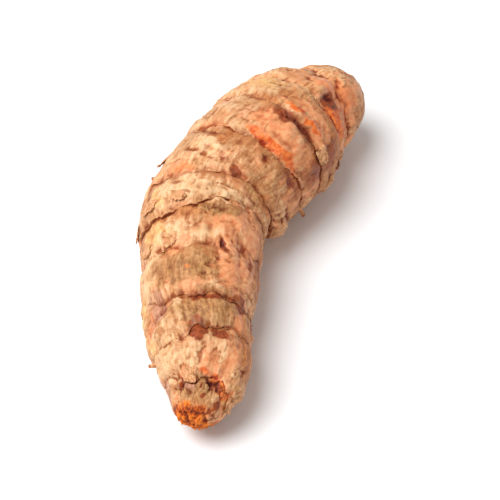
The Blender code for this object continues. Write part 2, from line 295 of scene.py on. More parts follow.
# A soft ridge of the skin, or a hollow where its height is below zero, turned by some degrees
Fold = namedtuple("Fold", "along angle length width height turn", defaults=[0])
FOLDS = [Fold(*row) for row in (
    # ridges that spread from the narrow end, with hollows between them
    (7.4, -14, 5, 1.6, 0.20, -8), (8, 8, 4.4, 1.3, 0.16), (8.4, 30, 4.6, 1.6, 0.20, 8),
    (7.6, 52, 4.2, 1.6, 0.22, 12), (8.6, -40, 5, 2.2, 0.22, -10), (6.8, 18, 3.4, 1.2, -0.15),
    (7.2, -3, 3, 1.1, -0.12), (5.8, -10, 1.8, 2.4, 0.25),
    # holes and slits in the rough collar behind the scar
    (3.3, -33, 2, 0.6, -0.30, 10), (3.8, -17, 0.7, 1, -0.35, 30), (2.5, -14, 1.1, 0.5, -0.25, -15),
    (3.2, 6, 1.2, 0.5, -0.30, 30), (2.1, 14, 0.6, 1, -0.25), (4.2, -26, 0.5, 1.2, -0.30),
    (3, -4, 1.4, 1, 0.25),
    # the left flank behind the olive scale
    (15.2, -24, 5.6, 0.9, 0.28), (17, -47, 3.4, 3.2, -0.35), (18.6, -74, 3.6, 4, 0.45),
    (13.4, -62, 3.2, 2.6, 0.25, 20),
    # lengthwise swellings and the pink lumps of the middle bands
    (22.6, -14, 5, 3.2, 0.22), (22.4, 12, 4.4, 1.4, -0.15, 6), (23, 40, 5, 3.4, 0.28, 8),
    (26.8, 25, 3.2, 0.9, -0.3, -20), (29.4, 22, 2.4, 2.6, 0.28), (31, 44, 3, 2.6, 0.28),
    (28.8, 44, 1.8, 2.2, -0.25), (31, -28, 3.8, 4.4, 0.18),
    # wrinkles across the pale band and the folds behind it
    (38.2, -30, 0.9, 5.4, -0.22, 8), (38.8, 6, 0.8, 4.8, -0.18, -6), (37, -52, 0.9, 4, -0.2, -10),
    (44.2, -22, 1.1, 6.4, -0.3, 6), (46.4, -16, 1.4, 7, 0.28, 4), (48.2, -26, 1, 5, -0.26, 8),
    (45.6, 30, 3.6, 4, 0.22),
    # the raised, rubbed ridge of the bend and its hollow
    (52.3, 34, 1.6, 9, 0.30, -6), (54.6, 36, 2.4, 7, 0.22), (58.8, 36, 1.4, 6.8, 0.32, -6),
    (57.2, 34, 1, 6, -0.32, -4), (53.4, -24, 3.4, 5.4, 0.2), (60.2, -24, 2.8, 6, 0.22),
    # the blunt end
    (66.8, 38, 3, 4, -0.4), (65.4, 52, 1.4, 4.2, 0.32, -10), (69.2, 20, 3.6, 3.6, 0.4),
    (71.6, 56, 3, 3.2, 0.2),
)]

# A tongue of scale that reaches past its ring towards the narrow end
Flap = namedtuple("Flap", "ring angle length width")
FLAPS = [Flap(*row) for row in (
    (2, -9, -1.7, 9), (2, 18, -0.7, 18), (1, 78, 2.2, 20), (1, -14, 0.6, 16),
    (4, -44, 0.9, 12), (4, -16, 0.7, 8), (5, -86, 0.4, 9), (5, -30, 0.5, 10),
    (6, -76, 0.8, 6), (3, 60, 0.8, 9), (7, 150, 1.0, 12), (8, -130, 0.9, 10),
)]

# Camera and light

VIEW_HEIGHT = math.radians(48.0)
VIEW_DISTANCE = 0.403
VIEW_TARGET = (-0.0005, -0.003, 0.009)
LENS = 178.6
SENSOR = 36.0
KEY_PLACE = (-0.40, -0.09, 0.82)
KEY_SIZE = 0.8
KEY_POWER = 10.7
KEY_COLOUR = (0.96, 0.98, 1.0)
SKY_COLOUR = (1.0, 0.98, 0.96)
SKY_STRENGTH = 0.44
FLOOR_HALF = 2500.0
FLOOR_COLOUR = (0.93, 0.93, 0.93)


# Large odd numbers that scatter the cells of the noise
CELL_FACTORS = np.array([374761393, 668265263, 1440662683])
SEED_FACTOR = 974634777
SCATTER_FACTOR = 1274126177


def noise(place, seed=0):
    """Smooth gradient noise between about -1 and 1, one cell per unit."""
    corner = np.floor(place).astype(np.int64)
    inside = place - corner
    ease = inside**3 * (inside * (inside * 6 - 15) + 10)
    total = np.zeros(place.shape[:-1])
    for step in itertools.product((0, 1), repeat=3):
        cell = corner + step
        mixed = (cell * CELL_FACTORS).sum(axis=-1) + seed * SEED_FACTOR
        mixed = (mixed ^ (mixed >> 13)) * SCATTER_FACTOR & 0xFFFFFFFF
        pick = (mixed ^ (mixed >> 16)) % len(SLOPES)
        weight = np.prod(np.where(step, ease, 1 - ease), axis=-1)
        total += weight * ((inside - step) * SLOPES[pick]).sum(axis=-1)
    return total


SLOPES = np.array([s for s in itertools.product((-1, 0, 1), repeat=3) if sum(map(abs, s)) == 2], float)


def layered(place, size, seed, layers=3, fade=0.5):
    """Noise of several sizes added up, the largest of them size across."""
    total = np.zeros(place.shape[:-1])
    for layer in range(layers):
        total += fade**layer * noise(place / size * 2**layer, seed + layer)
    return total


def smooth_step(low, high, value):
    share = np.clip((value - low) / (high - low), 0.0, 1.0)
    return share * share * (3 - 2 * share)


def natural_spline(knots, values, at):
    """Natural cubic spline through values at knots, read at the positions in at."""
    knots = np.asarray(knots, float)
    values = np.asarray(values, float)
    step = np.diff(knots)
    count = len(knots)
    matrix = np.eye(count)
    target = np.zeros_like(values)
    for i in range(1, count - 1):
        matrix[i, i - 1 : i + 2] = (step[i - 1], 2 * (step[i - 1] + step[i]), step[i])
        rise = (values[i + 1] - values[i]) / step[i]
        target[i] = 6 * (rise - (values[i] - values[i - 1]) / step[i - 1])
    bend = np.linalg.solve(matrix, target)
    i = np.clip(np.searchsorted(knots, at, side="right") - 1, 0, count - 2)
    shape = (-1,) + (1,) * (values.ndim - 1)
    size = step[i].reshape(shape)
    after = (np.asarray(at) - knots[i]).reshape(shape)
    before = size - after
    curved = (bend[i] * before**3 + bend[i + 1] * after**3) / (6 * size)
    start = (values[i] / size - bend[i] * size / 6) * before
    end = (values[i + 1] / size - bend[i + 1] * size / 6) * after
    return curved + start + end


class CentreLine:
    """The centre line, read by distance along it."""

    SAMPLES = 800
    HALF_STEP = 0.5

    def __init__(self, points):
        points = np.asarray(points, float)
        chords = np.linalg.norm(np.diff(points, axis=0), axis=1)
        knots = np.concatenate([[0.0], np.cumsum(chords)])
        self.places = natural_spline(knots, points, np.linspace(0, knots[-1], self.SAMPLES))
        steps = np.linalg.norm(np.diff(self.places, axis=0), axis=1)
        self.distances = np.concatenate([[0.0], np.cumsum(steps)])
        self.length = self.distances[-1]

    def place(self, along):
        return np.stack([np.interp(along, self.distances, axis) for axis in self.places.T], axis=-1)

    def frame(self, along):
        """Unit vectors along the line, to its right and upwards."""
        ahead = self.place(np.minimum(along + self.HALF_STEP, self.length))
        forward = ahead - self.place(np.maximum(along - self.HALF_STEP, 0.0))
        forward /= np.linalg.norm(forward, axis=-1, keepdims=True)
        right = np.cross(forward, (0.0, 0.0, 1.0))
        right /= np.linalg.norm(right, axis=-1, keepdims=True)
        return forward, right, np.cross(right, forward)

    def outward(self, along, angle):
        """Unit vector away from the line, square to it."""
        _, right, up = self.frame(along)
        return np.sin(angle)[..., None] * right + np.cos(angle)[..., None] * up


LINE = CentreLine(np.array(CENTRE_LINE) + CENTRING)


def girth(along):
    """Radius of the smooth body, with its blunt end rounded off."""
    stations, radii = zip(*GIRTH)
    inside = np.clip(along, 0.0, stations[-1])
    radius = natural_spline(stations, radii, np.ravel(inside)).reshape(np.shape(along))
    share = np.clip((along - BLUNT_END_START) / (LINE.length - BLUNT_END_START), 0.0, 1.0)
    return radius * (1 - share**BLUNT_END_POWER) ** (1 / BLUNT_END_POWER)


def wave_sum(waves, angle, place):
    """Sum of waves round the body, each turned by its own pace times the place."""
    return sum(share * np.cos(turns * angle + pace * place) for turns, pace, share in waves)


def ring_line(ring, angle):
    """Where a ring crosses each angle, as a distance along the centre line."""
    lean = ring.lean * np.cos(angle - math.radians(ring.lean_angle))
    return ring.along + lean + TORN_LINE * wave_sum(LINE_WAVES, angle, ring.along)


def lumps(along, angle):
    """Broad swellings of the whole body, from a few seeded waves."""
    draw = np.random.default_rng(LUMP_SEED)
    total = np.zeros(np.broadcast(along, angle).shape)
    for _ in range(LUMP_WAVES):
        turns = draw.integers(1, LUMP_MOST_TURNS + 1)
        pace = draw.uniform(-LUMP_FASTEST, LUMP_FASTEST)
        phase = draw.uniform(0, 2 * math.pi)
        total += np.cos(turns * angle + pace * along + phase) / turns
    return LUMP_HEIGHT * total / math.sqrt(LUMP_WAVES)


def bell(distance):
    """1 at no distance, 0 from about twice the unit on."""
    return np.exp(-(distance**2))


def turn_from(angle, degrees):
    """Angle from a place in degrees, the short way round."""
    return np.angle(np.exp(1j * (angle - math.radians(degrees))))


def bud_relief(along, angle):
    """Height that the buds add, and how near each point is to the rim of one."""
    height = np.zeros(np.broadcast(along, angle).shape)
    rims = np.zeros_like(height)
    place = unbent(along, angle)
    drift = layered(place, 2.4, 25, layers=2)
    broken = np.clip(0.5 + 1.6 * layered(place, 2.1, 35, layers=2), 0.0, 1.2)
    for bud in BUDS:
        across = turn_from(angle, bud.angle) * girth(bud.along)
        away = np.hypot(along - bud.along, across) / bud.radius * (1 + BUD_WANDER * drift)
        dome = np.exp(-((away / BUD_DOME) ** BUD_DOME_POWER))
        rim = broken * bell((away - BUD_RIM) / BUD_RIM_WIDTH)
        circles = 0.06 * np.cos(9 * away) * np.exp(-(away**4))
        height += bud.height * (dome - BUD_RIM_DEPTH * rim) + circles
        rims = np.maximum(rims, rim)
    return height, rims


def unbent(along, angle):
    """The skin as a straight bar, for noise that follows the root's bends."""
    radius = girth(along)
    return np.stack([along, radius * np.sin(angle), radius * np.cos(angle)], axis=-1)


def edge_noise(band, angle, layers):
    """Noise round the edge of a band, the sum of layers."""
    place = np.stack([np.sin(angle), np.cos(angle), np.full_like(angle, band)], axis=-1)
    return sum(share * noise(place * (turns, turns, pace), seed) for share, turns, pace, seed in layers)


def torn_height(band, angle):
    """How much of a band's lip is left at each angle."""
    wide = 1 + TORN_HEIGHT * wave_sum(HEIGHT_WAVES, angle, band)
    worn = 1 - WORN_TOP * (1 + np.cos(angle)) / 2
    return np.maximum(wide * worn * (1 + edge_noise(band, angle, HEIGHT_LAYERS)), LEAST_HEIGHT)


def ragged(band, angle):
    """Fine wandering of a torn edge, along the root, with its flaps."""
    total = RAGGED_LINE * edge_noise(band, angle, LINE_LAYERS)
    for flap in FLAPS:
        if flap.ring == band:
            total -= flap.length * bell(turn_from(angle, flap.angle) / math.radians(flap.width))
    return total


def torn_share(ring, band, angle):
    """How crisp a ring's lip is at each angle, broken up a little."""
    degrees, values = zip(*ring.torn)
    planned = np.interp(np.degrees(angle), degrees, values, period=360.0)
    return np.clip(planned * (1 + edge_noise(band, angle, TORN_LAYERS)), 0.0, 1.0)


def blurred(field, reach):
    """Mean of the grid over a square of rows and columns."""
    padded = np.pad(field, ((reach, reach), (0, 0)), mode="edge")
    field = sum(padded[i : i + len(field)] for i in range(2 * reach + 1)) / (2 * reach + 1)
    return sum(np.roll(field, i, axis=1) for i in range(-reach, reach + 1)) / (2 * reach + 1)


def groove_shade(crisp):
    """How much painted shade the groove under a lip gets."""
    return 0.05 + 0.85 * crisp


class Skin:
    """The grid of the fine skin: one row after another from the scar's rim to the blunt end."""

    def __init__(self):
        self.angle = math.pi + np.arange(COLUMNS) * 2 * math.pi / COLUMNS
        self.rows = []
        edges, self.crisp, self.lips = ([np.zeros(COLUMNS)] for _ in range(3))
        for band, ring in enumerate(RINGS, start=1):
            edges.append(ring_line(ring, self.angle) + ragged(band, self.angle))
            self.crisp.append(torn_share(ring, band, self.angle))
            self.lips.append(ring.lip * torn_height(band, self.angle))
        for band, (near, far) in enumerate(zip(edges, edges[1:])):
            gap = far - near
            if band:
                self.add_lip(band, near)
            count = int(round(gap.mean() / ROW_STEP))
            for share in (np.arange(count) + 0.5) / count:
                self.add_row(band, near, gap, share)
            self.add_row(band, near, gap, 1.0)
        self.add_lip(len(RINGS), edges[-1])
        for step in range(BLUNT_END_ROWS):
            share = math.sin(0.5 * math.pi * (step + 0.5) / BLUNT_END_ROWS)
            self.add_row(len(RINGS), edges[-1], LINE.length - edges[-1], share)
        self.gather()

    def add_row(self, band, near, gap, share):
        past = share * gap
        crisp = self.crisp[band]
        height = self.lips[band]
        groove = GROOVE if band < len(RINGS) else 0.0
        next_crisp = self.crisp[band + 1] if groove else 0.0
        reach = OVERHANG * crisp * height * np.exp(-past / OVERHANG_FADE)
        lip = height * math.exp(-share / LIP_FADE)
        rise = smooth_step(0.0, SOFT_STEP, past)
        start = crisp * lip + (1 - crisp) * (lip * rise - (GROOVE if band else 0.0) * (1 - rise))
        dip = groove * np.exp(-(1 - share) * gap / GROOVE_REACH)
        relief = start + SWELL * math.sin(math.pi * share) - dip
        shade = edge = np.zeros(COLUMNS)
        # Painted shade in the groove under the next lip, darker the crisper that lip
        if groove:
            shade = groove_shade(next_crisp) * np.exp(-(1 - share) * gap / GROOVE_SHADE_REACH)
        # The pale edge behind each torn lip: the pale rim of the torn scale, partly a painted highlight on
        # the lip
        if band:
            edge = crisp * np.exp(-past / PALE_EDGE_REACH)
        level = np.full(COLUMNS, float(band))
        line = near + past - reach
        self.rows.append((line, relief, shade, level, past, edge, np.full(COLUMNS, share)))

    def add_lip(self, band, line):
        """The underside and the edge of a lip, from the bottom of the groove out."""
        crisp = self.crisp[band]
        height = self.lips[band]
        reach = OVERHANG * crisp * height
        under = np.maximum(height - LIP_THICKNESS, 0.4 * height)
        # How far out, how high and how much painted shade each row gets
        for out, radius, shade in (
            (0.0, -GROOVE * 0.9, 1.0),
            (0.5 * reach, 0.45 * under - 0.15 * GROOVE, 0.75),
            (0.95 * reach, under, 0.35),
            (1.05 * reach + 0.03 * crisp, height - 0.4 * (height - under), 0.1),
            (reach, height, 0.0),
        ):
            radius = crisp * radius - (1 - crisp) * GROOVE
            level = np.full(COLUMNS, band - 0.25)
            # The outer rows of the lip get the pale edge, partly a painted highlight
            edge = crisp * (1 - shade)
            none = np.zeros(COLUMNS)
            self.rows.append((line - out, radius, shade * groove_shade(crisp), level, none, edge, none))

    def gather(self):
        """Turns the rows into arrays and adds all the relief."""
        parts = (np.array(part) for part in zip(*self.rows))
        self.along, relief, self.groove, self.band, self.past, self.edge, self.share = parts
        self.around = np.broadcast_to(self.angle, self.along.shape)
        far_calm = np.clip((LINE.length - self.along) / END_CALM, 0.0, 1.0)
        calm = np.clip(self.along / END_CALM, SCAR_RIM_RELIEF, 1.0) * far_calm
        smooth = girth(self.along) * (1 + OVAL * (np.abs(np.sin(self.around)) - 0.5))
        buds, self.bud_rim = bud_relief(self.along, self.around)
        self.straight = place = unbent(self.along, self.around)
        # Noise jumps from band to band, because each band is its own leaf scar
        self.banded = place + self.band[..., None] * BAND_SHIFT
        self.rough_end = smooth_step(1.5, 0.3, self.along + 0.9 * noise(place / 1.3, 23))
        self.rough_end *= (self.band < 0.5) * (1 - overgrown(self.around))
        smooth *= 1 - SCAR_PINCH * np.exp(-self.along / SCAR_PINCH_REACH)
        self.masks = paint(self)
        fine = fine_relief(self)
        body = smooth + calm * (relief + lumps(self.along, self.around))
        self.radius = np.maximum(body + buds + calm * fine, LEAST_RADIUS)
        circles = np.sin(2 * math.pi * smooth / END_RING_STEP + 2.0 * noise(place / 2.5, 24))
        self.ahead = (1 - far_calm) * (END_ROUGHNESS * fine + END_RING_HEIGHT * circles)
        # How far each point lies below its neighbours: the painted shade of the hollows, kept on the mesh as
        # sunk
        small = blurred(self.radius, 2) - self.radius
        wide = blurred(self.radius, 7) - self.radius
        self.hollow = 0.5 + SMALL_HOLLOWS * small + WIDE_HOLLOWS * wide + BUD_RIM_HOLLOWS * self.bud_rim
        self.hollow += END_HOLLOWS * (blurred(self.ahead, 3) - self.ahead)
        # Near the scar the hollows take the painted shade between the scar's grains
        self.hollow += self.rough_end * (grain_shade(scar_grains(place)) - self.hollow)

    def points(self):
        out = LINE.outward(self.along, self.around)
        forward, _, _ = LINE.frame(self.along)
        place = LINE.place(self.along) + self.radius[..., None] * out + self.ahead[..., None] * forward
        place[..., 2] = np.maximum(place[..., 2], FLOOR_GAP)
        return place


def patch(skin, along, degrees, reach):
    """Which points are near a place on the skin, and how far along and across from it they are."""
    near = np.abs(skin.along - along) < reach
    return near, skin.along[near] - along, turn_from(skin.around[near], degrees) * girth(along)


def turned(along, across, degrees):
    """Distances along and across a patch that is turned on the skin."""
    cos, sin = math.cos(math.radians(degrees)), math.sin(math.radians(degrees))
    return along * cos + across * sin, across * cos - along * sin


def spot(skin, mark, drift):
    """Strength of a mark at each point: 1 inside, 0 outside, with an irregular outline."""
    total = np.zeros(skin.along.shape)
    near, along, across = patch(skin, mark.along, mark.angle, mark.length + 2.0)
    wander = MARK_WANDER * min(mark.length, mark.width) + LEAST_WANDER
    along, across = turned(along + wander * drift[0][near], across + wander * drift[1][near], mark.turn)
    away = np.hypot(2 * along / mark.length, 2 * across / mark.width)
    total[near] = mark.strength * smooth_step(*MARK_OUTLINE, away)
    return total


def hidden_marks():
    """Marks for the sides that the photo doesn't show, of the same kinds."""
    draw = np.random.default_rng(HIDDEN_MARK_SEED)
    for _ in range(HIDDEN_MARKS):
        kind = KINDS[draw.choice(len(KINDS), p=HIDDEN_SHARES)]
        along = draw.uniform(3.0, LINE.length - 3.0)
        angle = draw.uniform(HIDDEN_FROM, HIDDEN_TO)
        yield Mark(kind, along, angle, *(draw.uniform(*span) for span in HIDDEN_SPANS))


def paint(skin):
    """The colour masks, from the marks and from broad noise."""
    place, banded = skin.straight, skin.banded
    masks = {kind: np.zeros(skin.along.shape) for kind in KINDS}
    drift = (layered(place, 1.8, 55, fade=0.7), layered(place, 1.8, 57, fade=0.7))
    for mark in [*MARKS, *hidden_marks()]:
        masks[mark.kind] = np.maximum(masks[mark.kind], spot(skin, mark, drift))
    for kind, strength, low, high, size, seed, layers in BLOTCHES:
        blotches = strength * smooth_step(low, high, layered(banded, size, seed, layers=layers))
        masks[kind] = np.maximum(masks[kind], blotches)
    masks["crack"] = spot(skin, CRACK, drift)
    return masks


def pits(skin):
    """Small round pits where thin roots came away."""
    draw = np.random.default_rng(PIT_SEED)
    depth = np.zeros(skin.along.shape)
    for _ in range(PIT_COUNT):
        along = draw.uniform(3.0, LINE.length - 4.0)
        degrees = draw.uniform(-180.0, 180.0)
        size = draw.uniform(*PIT_SIZES)
        near, down, across = patch(skin, along, degrees, 3 * size)
        away = np.hypot(down, across) / size
        depth[near] += bell(away) - PIT_RIM_HEIGHT * bell((away - PIT_RIM) / PIT_RIM_WIDTH)
    return depth


def folds_relief(skin, place):
    """The ridges and hollows of the list, softened by noise."""
    total = np.zeros(skin.along.shape)
    drift = noise(place / 2.2, 19), noise(place / 2.2, 20)
    for fold in FOLDS:
        near, along, across = patch(skin, fold.along, fold.angle, fold.length + fold.width)
        along, across = along + FOLD_WANDER * drift[0][near], across + FOLD_WANDER * drift[1][near]
        along, across = turned(along, across, fold.turn)
        away = (2 * along / fold.length) ** 2 + (2 * across / fold.width) ** 2
        total[near] += fold.height * np.exp(-(away**FOLD_FALL))
    return total


def stretched(place, layers):
    """Each layer's share and its noise, with its own size along and across."""
    for share, along, across, seed in layers:
        yield share, noise(place / (along, across, across), seed)


def fine_relief(skin):
    """Height of everything finer than the rings and buds."""
    place, banded = skin.straight, skin.banded
    knobs = 0.42 * layered(place, 4.6, 1, layers=2) + 0.26 * layered(banded, 2.3, 3, layers=2, fade=0.5)
    broken = banded + 0.45 * np.stack([noise(banded / 1.6, s) for s in (11, 12, 13)], axis=-1)
    fibre = sum(share * field for share, field in stretched(broken, FIBRE_LAYERS))
    wrinkle = sum(share * field for share, field in stretched(broken, WRINKLE_LAYERS))
    folds = sum(share * bell(field / CREASE_WIDTH) for share, field in stretched(broken, CREASE_LAYERS))
    grain = noise(place / 0.32, 9)
    bare = smooth_step(0.3, 0.5, skin.masks["bare"])
    wrinkled = np.clip(0.35 + skin.masks["pale"] + np.exp(-skin.past / 1.2), 0.0, 1.3)
    scaly = 1 - 0.7 * bare
    layers = broken + (0.0, 40.0, 0.0)
    paper = layered(layers, 2.6, 17, layers=3, fade=0.6)
    flaked = smooth_step(-0.02, 0.02, paper) + 0.7 * smooth_step(0.28, 0.31, paper)
    height = KNOBS * knobs + FIBRES * scaly * fibre + WRINKLES * wrinkled * wrinkle + GRAIN * grain
    height += PEELED_SCALE * scaly * flaked - FOLD_LINES * folds - PIT_DEPTH * pits(skin)
    height += SCALE_THICKNESS * (1 - bare) - skin.masks["crack"] + folds_relief(skin, place)
    height += SCAR_ROUGHNESS * skin.rough_end * scar_grains(place)
    height += COLLAR_ROUGHNESS * collar(skin) * layered(place, 1.3, 113, layers=3, fade=0.75)
    return height


def collar(skin):
    """1 on the ragged skin just behind the scar, on top, and 0 elsewhere."""
    along = bell((skin.along - COLLAR_ALONG) / COLLAR_REACH)
    return along * smooth_step(*COLLAR_EDGE, np.abs(np.degrees(turn_from(skin.around, 0.0))))


def overgrown(angle):
    """1 at the side where the collar covers the scar, 0 elsewhere."""
    return bell(np.degrees(turn_from(angle, OVERGROWN_ANGLE)) / OVERGROWN_WIDTH)


def scar_grains(place):
    return layered(place, SCAR_GRAIN, SCAR_SEED, fade=0.7)


def grain_shade(grains):
    """How much painted shade the scar gets at its grains, from 0 on their tops to 1 between them."""
    return 0.5 - 1.1 * grains


def scar_points(rim, angle):
    """Rows of the scar from its rim to near its middle, with the painted shade of each point between the
    grains.
    """
    forward, _, _ = LINE.frame(0.0)
    middle = LINE.place(0.0)
    out = LINE.outward(np.zeros_like(angle), angle)
    reach = np.linalg.norm(rim - middle, axis=-1)
    for step in range(1, SCAR_ROWS):
        share = 1 - step / SCAR_ROWS
        flat = middle + (reach * share)[:, None] * out
        grains = scar_grains(flat)
        bulge = SCAR_BULGE * (1 - share**2) + 0.5 * grains * min(1.0, 8 * (1 - share))
        yield flat - bulge[:, None] * forward, grain_shade(grains)


def placed(name, data):
    """A new object of the scene."""
    obj = bpy.data.objects.new(name, data)
    bpy.context.scene.collection.objects.link(obj)
    return obj


def mesh_object(name, points, faces):
    mesh = bpy.data.meshes.new(name)
    mesh.from_pydata((np.asarray(points) * MM).tolist(), [], faces)
    mesh.update()
    return placed(name, mesh)


def grid_faces(rows, columns):
    """Quads between rows of a grid that closes round."""
    low = np.arange(rows - 1)[:, None] * columns + np.arange(columns)
    side = np.roll(low, -1, axis=1)
    return np.stack([low, side, side + columns, low + columns], axis=-1).reshape(-1, 4)


def closed_faces(rows, columns):
    """The grid's quads, and a fan at each end round the two points that follow the grid's."""
    faces = grid_faces(rows, columns).tolist()
    top = (rows - 1) * columns
    for i in range(columns):
        j = (i + 1) % columns
        faces.append((rows * columns, j, i))
        faces.append((rows * columns + 1, top + i, top + j))
    return faces


def set_values(mesh, name, values, kind="FLOAT"):
    field = {"FLOAT": "value", "FLOAT_VECTOR": "vector"}[kind]
    attribute = mesh.attributes.new(name, kind, "POINT")
    attribute.data.foreach_set(field, np.ravel(values).astype(np.float32))


def build_skin(skin):
    """The fine skin as one closed mesh, with its masks on its points."""
    places = skin.points()
    scar = list(scar_points(places[0], skin.angle))
    forward, _, _ = LINE.frame(0.0)
    scar_rows = [row for row, _ in reversed(scar)]
    scar_sunk = [sunk for _, sunk in reversed(scar)]
    shares = np.arange(1, SCAR_ROWS) / SCAR_ROWS
    scar_rough = [1 - overgrown(skin.angle) * smooth_step(*OVERGROWN_RIM, share) for share in shares]
    rows = np.concatenate([np.array(scar_rows), places])
    first = LINE.place(0.0) - (SCAR_BULGE + 0.1) * forward
    last = LINE.place(LINE.length) + skin.ahead[-1].mean() * LINE.frame(LINE.length)[0]
    points = np.concatenate([rows.reshape(-1, 3), [first, last]])
    obj = mesh_object("turmeric_skin", points, closed_faces(len(rows), COLUMNS))
    extra = len(scar_rows)
    # Each value on the skin, on the scar's rows and at the two end points
    values = {kind: (skin.masks[kind], 0.0, (0.0, 0.0)) for kind in KINDS}
    # edge is the pale lip edge, partly a painted highlight; groove and sunk carry painted shade
    values["edge"] = (skin.edge, 0.0, (0.0, 0.0))
    values["share"] = (skin.share, 0.0, (0.0, 1.0))
    values["scar"] = (skin.rough_end, np.array(scar_rough), (1.0, 0.0))
    values["groove"] = (skin.groove, 0.0, (0.0, 0.0))
    values["sunk"] = (skin.hollow, np.array(scar_sunk), (0.5, 0.5))
    for name, (body, scar_part, ends) in values.items():
        head = np.broadcast_to(scar_part, (extra, COLUMNS))
        set_values(obj.data, name, np.concatenate([np.ravel(head), np.ravel(body), ends]))
    start = unbent(np.zeros(COLUMNS), skin.angle)
    shares = np.linspace(0.0, 1.0, extra, endpoint=False)[:, None, None]
    head = np.broadcast_to(start, (extra, COLUMNS, 3)) * (1.0, 0.0, 0.0)
    head = head + shares * start * (0.0, 1.0, 1.0)
    ends = [(0, 0, 0), (LINE.length, 0, 0)]
    straight = np.concatenate([head.reshape(-1, 3), skin.straight.reshape(-1, 3), ends])
    set_values(obj.data, "unbent", straight, "FLOAT_VECTOR")
    obj.data.shade_smooth()
    return obj


class Surface:
    """The outermost radius of the fine skin at any place on it."""

    STEP = 0.25

    def __init__(self, skin):
        bins = int(LINE.length / self.STEP) + 2
        self.radius = np.zeros((bins, COLUMNS))
        row = np.clip(np.round(skin.along / self.STEP), 0, bins - 1).astype(int)
        column = np.broadcast_to(np.arange(COLUMNS), row.shape)
        np.maximum.at(self.radius, (row, column), skin.radius)
        near = np.maximum(np.roll(self.radius, 1, axis=0), np.roll(self.radius, -1, axis=0))
        self.radius = np.where(self.radius > 0, self.radius, near)

    def point(self, along, angle, height):
        """Place above the skin, for arrays of distances, angles and heights."""
        row = np.clip(np.round(along / self.STEP), 0, len(self.radius) - 1).astype(int)
        column = np.round((angle - math.pi) / (2 * math.pi) * COLUMNS).astype(int) % COLUMNS
        radius = self.radius[row, column] + height
        return LINE.place(along) + radius[..., None] * LINE.outward(along, angle)


# A thin torn piece of dry scale whose edge towards the narrow end stands off the skin
Flake = namedtuple("Flake", "along angle length width lift")
FLAKES = [Flake(*row) for row in (
    (43.6, -70, 2.0, 1.4, 0.6), (34.8, -86, 2.2, 3.0, 0.3), (3.0, 79, 3.0, 2.2, 0.5),
    (35.0, -52, 2.2, 3.0, 0.4), (35.3, -20, 1.8, 2.6, 0.35), (27.6, -62, 2.2, 2.8, 0.25),
    (27.5, -30, 1.8, 2.2, 0.18), (4.6, -16, 1.8, 2.2, 0.35), (57.6, 70, 2.0, 2.6, 0.4),
)]
FLAKE_SEED = 12
HIDDEN_FLAKES = 16
# Spans of length, width and lift of the flakes on the hidden sides
FLAKE_SPANS = ((1.4, 2.6), (1.6, 3.4), (0.2, 0.6))
FLAKE_THICKNESS = 0.07
FLAKE_POINTS = 14
FLAKE_GAP = 0.03

HAIR_SEED = 33
HAIRS = 22
HAIR_RADIUS = 0.05
HAIR_POINTS = 10
HAIR_SIDES = 6


class Pieces:
    """Collects points and faces of the many small pieces of one mesh."""

    def __init__(self):
        self.points = []
        self.faces = []
        self.tips = []

    def add(self, points, faces, tips):
        start = len(self.points)
        self.points.extend(map(tuple, points))
        self.faces.extend(tuple(start + i for i in face) for face in faces)
        self.tips.extend(tips)

    def add_tube(self, path, radii, sides, roughness, seed):
        """A closed tube with round ends along a path."""
        path = np.asarray(path)
        ahead = np.gradient(path, axis=0)
        ahead /= np.linalg.norm(ahead, axis=1, keepdims=True)
        side = np.cross(ahead, (0.31, 0.95, 0.11))
        side /= np.linalg.norm(side, axis=1, keepdims=True)
        other = np.cross(ahead, side)
        turn = np.arange(sides) * 2 * math.pi / sides
        ring = np.cos(turn)[:, None] * side[:, None] + np.sin(turn)[:, None] * other[:, None]
        rows = path[:, None] + np.asarray(radii)[:, None, None] * ring
        rough = 1 + roughness * noise(rows / 0.45, seed)
        rows = path[:, None] + (np.asarray(radii)[:, None] * rough)[..., None] * ring
        points = np.concatenate([rows.reshape(-1, 3), path[:1], path[-1:]])
        tips = np.repeat(np.linspace(0, 1, len(path)), sides).tolist() + [0.0, 1.0]
        self.add(points, closed_faces(len(path), sides), tips)

    def add_sheet(self, upper, lower, tips):
        """A closed thin sheet between two grids of points."""
        rows, columns = upper.shape[:2]
        points = np.concatenate([upper.reshape(-1, 3), lower.reshape(-1, 3)])
        under = rows * columns
        faces = []
        for i, j in itertools.product(range(rows - 1), range(columns - 1)):
            corner = i * columns + j
            quad = (corner, corner + 1, corner + columns + 1, corner + columns)
            faces.append(quad)
            faces.append(tuple(under + k for k in reversed(quad)))
        edge = [*range(columns), *range(2 * columns - 1, under, columns)]
        edge += [*range(under - 2, under - columns - 1, -1), *range(under - 2 * columns, 0, -columns)]
        for first, second in zip(edge, edge[1:] + edge[:1]):
            faces.append((second, first, under + first, under + second))
        self.add(points, faces, np.concatenate([np.ravel(tips), np.ravel(tips)]).tolist())


